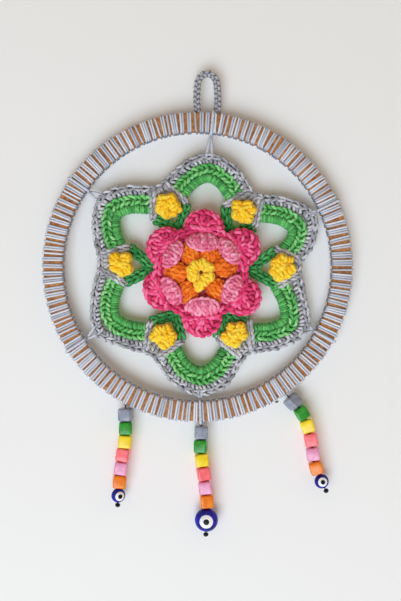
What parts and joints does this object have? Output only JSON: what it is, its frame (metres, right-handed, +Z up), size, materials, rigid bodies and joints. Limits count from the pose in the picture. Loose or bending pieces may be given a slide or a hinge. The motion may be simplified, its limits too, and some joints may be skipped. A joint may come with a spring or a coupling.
{
  "type": "evil eye hanging ornament",
  "caption": "Crocheted evil eye wall hanging: yarn-wound wooden hoop with a lobed crochet mandala tied inside, a braided loop above and swinging strands of cube and eye beads below.",
  "frame": {"origin": "top of the hanging loop's inside, where a hook carries the ornament, in the hoop's middle plane", "axes": "+Z up as it hangs, +X to the right seen from the front, the front faces -Y"},
  "size_m": [0.1948, 0.0202, 0.2916],
  "materials": {
    "wood": "plain laminated hoop, sanded",
    "grey_yarn": "silver grey plied cotton",
    "green_yarn": "bright green plied cotton",
    "leaf_green_yarn": "leaf green plied cotton",
    "yellow_yarn": "golden yellow plied cotton",
    "orange_yarn": "orange plied cotton",
    "light_pink_yarn": "mid pink plied cotton",
    "hot_pink_yarn": "hot pink plied cotton",
    "grey_glaze": "gloss glaze",
    "green_glaze": "gloss glaze",
    "yellow_glaze": "gloss glaze",
    "coral_glaze": "gloss glaze",
    "pink_glaze": "gloss glaze",
    "orange_glaze": "gloss glaze",
    "blue_glass": "opaque cobalt lampwork glass",
    "white_glass": "opaque white lampwork glass",
    "black_glass": "opaque black glass",
    "dark_thread": "waxed beading thread"
  },
  "bodies": {
    "hanging_loop": {"hanging_loop": "grey_yarn"},
    "hoop": {"hoop_ring": "wood", "hoop_wrap": "grey_yarn", "grey_border": "grey_yarn", "leaf_round": "leaf_green_yarn", "green_arch_top": "green_yarn", "green_arch_upper_left": "green_yarn", "green_arch_lower_left": "green_yarn", "green_arch_bottom": "green_yarn", "green_arch_lower_right": "green_yarn", "green_arch_upper_right": "green_yarn", "tie_top": "grey_yarn", "tie_upper_left": "grey_yarn", "tie_lower_left": "grey_yarn", "tie_bottom": "grey_yarn", "tie_lower_right": "grey_yarn", "tie_upper_right": "grey_yarn", "bobble_upper_left": "yellow_yarn", "bobble_left": "yellow_yarn", "bobble_lower_left": "yellow_yarn", "bobble_lower_right": "yellow_yarn", "bobble_right": "yellow_yarn", "bobble_upper_right": "yellow_yarn", "hot_pink_petals": "hot_pink_yarn", "light_pink_petals": "light_pink_yarn", "orange_puffs": "orange_yarn", "yellow_centre": "yellow_yarn"},
    "left_thread": {"left_thread": "dark_thread"},
    "left_grey": {"left_cube_grey": "grey_glaze"},
    "left_green": {"left_cube_green": "green_glaze"},
    "left_yellow": {"left_cube_yellow": "yellow_glaze"},
    "left_coral": {"left_cube_coral": "coral_glaze"},
    "left_pink": {"left_cube_pink": "pink_glaze"},
    "left_orange": {"left_cube_orange": "orange_glaze"},
    "left_eye": {"left_eye_glass": "blue_glass", "left_eye_white": "white_glass", "left_eye_pupil": "black_glass"},
    "left_seed": {"left_seed": "black_glass"},
    "middle_thread": {"middle_thread": "dark_thread"},
    "middle_grey": {"middle_cube_grey": "grey_glaze"},
    "middle_green": {"middle_cube_green": "green_glaze"},
    "middle_yellow": {"middle_cube_yellow": "yellow_glaze"},
    "middle_coral": {"middle_cube_coral": "coral_glaze"},
    "middle_pink": {"middle_cube_pink": "pink_glaze"},
    "middle_orange": {"middle_cube_orange": "orange_glaze"},
    "middle_eye": {"middle_eye_glass": "blue_glass", "middle_eye_white": "white_glass", "middle_eye_pupil": "black_glass"},
    "middle_seed": {"middle_seed": "black_glass"},
    "right_thread": {"right_thread": "dark_thread"},
    "right_grey": {"right_cube_grey": "grey_glaze"},
    "right_green": {"right_cube_green": "green_glaze"},
    "right_yellow": {"right_cube_yellow": "yellow_glaze"},
    "right_coral": {"right_cube_coral": "coral_glaze"},
    "right_pink": {"right_cube_pink": "pink_glaze"},
    "right_orange": {"right_cube_orange": "orange_glaze"},
    "right_eye": {"right_eye_glass": "blue_glass", "right_eye_white": "white_glass", "right_eye_pupil": "black_glass"},
    "right_seed": {"right_seed": "black_glass"}
  },
  "joints": [
    {"name": "hoop_swing", "type": "hinge", "parent": "hanging_loop", "child": "hoop", "pos_m": [0, 0, -0.0204], "axis": [1, 0, 0], "range_deg": [-30, 0]},
    {"name": "left_fore_aft", "type": "hinge", "parent": "hoop", "child": "left_thread", "pos_m": [-0.05113, 0, -0.20484], "axis": [1, 0, 0], "range_deg": [-20, 0], "deforming": ["left_thread"]},
    {"name": "left_side_swing", "type": "hinge", "parent": "left_thread", "child": "left_grey", "pos_m": [-0.05113, 0, -0.20484], "axis": [0, 1, 0], "range_deg": [-2, 20]},
    {"name": "left_green_flex", "type": "hinge", "parent": "left_grey", "child": "left_green", "pos_m": [-0.05095, 0, -0.21504], "axis": [0, 1, 0], "range_deg": [-8.5, 4.5]},
    {"name": "left_yellow_flex", "type": "hinge", "parent": "left_green", "child": "left_yellow", "pos_m": [-0.0511, 0, -0.22344], "axis": [0, 1, 0], "range_deg": [-11.5, 1.5]},
    {"name": "left_coral_flex", "type": "hinge", "parent": "left_yellow", "child": "left_coral", "pos_m": [-0.05198, 0, -0.23179], "axis": [0, 1, 0], "range_deg": [-9.5, 3.5]},
    {"name": "left_pink_flex", "type": "hinge", "parent": "left_coral", "child": "left_pink", "pos_m": [-0.05329, 0, -0.24009], "axis": [0, 1, 0], "range_deg": [-6.5, 6.5]},
    {"name": "left_orange_flex", "type": "hinge", "parent": "left_pink", "child": "left_orange", "pos_m": [-0.05461, 0, -0.24838], "axis": [0, 1, 0], "range_deg": [-2.5, 10.5]},
    {"name": "left_eye_turn", "type": "hinge", "parent": "left_orange", "child": "left_eye", "pos_m": [-0.05559, 0, -0.26144], "axis": [0.0523, 0, 0.9986], "continuous": true},
    {"name": "left_seed_flex", "type": "hinge", "parent": "left_eye", "child": "left_seed", "pos_m": [-0.05583, 0, -0.26614], "axis": [0, 1, 0], "range_deg": [-15, 15]},
    {"name": "middle_fore_aft", "type": "hinge", "parent": "hoop", "child": "middle_thread", "pos_m": [-0.00356, 0, -0.21587], "axis": [1, 0, 0], "range_deg": [-20, 0], "deforming": ["middle_thread"]},
    {"name": "middle_side_swing", "type": "hinge", "parent": "middle_thread", "child": "middle_grey", "pos_m": [-0.00356, 0, -0.21587], "axis": [0, 1, 0], "range_deg": [-14, 14]},
    {"name": "middle_green_flex", "type": "hinge", "parent": "middle_grey", "child": "middle_green", "pos_m": [-0.0041, 0, -0.22618], "axis": [0, 1, 0], "range_deg": [-8, 14]},
    {"name": "middle_yellow_flex", "type": "hinge", "parent": "middle_green", "child": "middle_yellow", "pos_m": [-0.0041, 0, -0.23483], "axis": [0, 1, 0], "range_deg": [-4, 18]},
    {"name": "middle_coral_flex", "type": "hinge", "parent": "middle_yellow", "child": "middle_coral", "pos_m": [-0.00304, 0, -0.24341], "axis": [0, 1, 0], "range_deg": [-9, 13]},
    {"name": "middle_pink_flex", "type": "hinge", "parent": "middle_coral", "child": "middle_pink", "pos_m": [-0.00169, 0, -0.25196], "axis": [0, 1, 0], "range_deg": [-13, 9]},
    {"name": "middle_orange_flex", "type": "hinge", "parent": "middle_pink", "child": "middle_orange", "pos_m": [-0.00063, 0, -0.26054], "axis": [0, 1, 0], "range_deg": [-15, 7]},
    {"name": "middle_eye_turn", "type": "hinge", "parent": "middle_orange", "child": "middle_eye", "pos_m": [-0.00058, 0, -0.2768], "axis": [0.0523, 0, 0.9986], "continuous": true},
    {"name": "middle_seed_flex", "type": "hinge", "parent": "middle_eye", "child": "middle_seed", "pos_m": [-0.00098, 0, -0.28441], "axis": [0, 1, 0], "range_deg": [-15, 15]},
    {"name": "right_fore_aft", "type": "hinge", "parent": "hoop", "child": "right_thread", "pos_m": [0.04937, 0, -0.19852], "axis": [1, 0, 0], "range_deg": [-20, 0], "deforming": ["right_thread"]},
    {"name": "right_side_swing", "type": "hinge", "parent": "right_thread", "child": "right_grey", "pos_m": [0.04937, 0, -0.19852], "axis": [0, 1, 0], "range_deg": [-10, 38]},
    {"name": "right_green_flex", "type": "hinge", "parent": "right_grey", "child": "right_green", "pos_m": [0.05663, 0, -0.20603], "axis": [0, 1, 0], "range_deg": [-28.5, 2.5]},
    {"name": "right_yellow_flex", "type": "hinge", "parent": "right_green", "child": "right_yellow", "pos_m": [0.06122, 0, -0.21366], "axis": [0, 1, 0], "range_deg": [-28.5, 2.5]},
    {"name": "right_coral_flex", "type": "hinge", "parent": "right_yellow", "child": "right_coral", "pos_m": [0.06397, 0, -0.22213], "axis": [0, 1, 0], "range_deg": [-23.5, 7.5]},
    {"name": "right_pink_flex", "type": "hinge", "parent": "right_coral", "child": "right_pink", "pos_m": [0.06551, 0, -0.23089], "axis": [0, 1, 0], "range_deg": [-18.5, 12.5]},
    {"name": "right_orange_flex", "type": "hinge", "parent": "right_pink", "child": "right_orange", "pos_m": [0.0666, 0, -0.23972], "axis": [0, 1, 0], "range_deg": [-4.5, 26.5]},
    {"name": "right_eye_turn", "type": "hinge", "parent": "right_orange", "child": "right_eye", "pos_m": [0.07144, 0, -0.25267], "axis": [-0.4226, 0, 0.9063], "continuous": true},
    {"name": "right_seed_flex", "type": "hinge", "parent": "right_eye", "child": "right_seed", "pos_m": [0.07353, 0, -0.25716], "axis": [0, 1, 0], "range_deg": [-15, 15]}
  ]
}
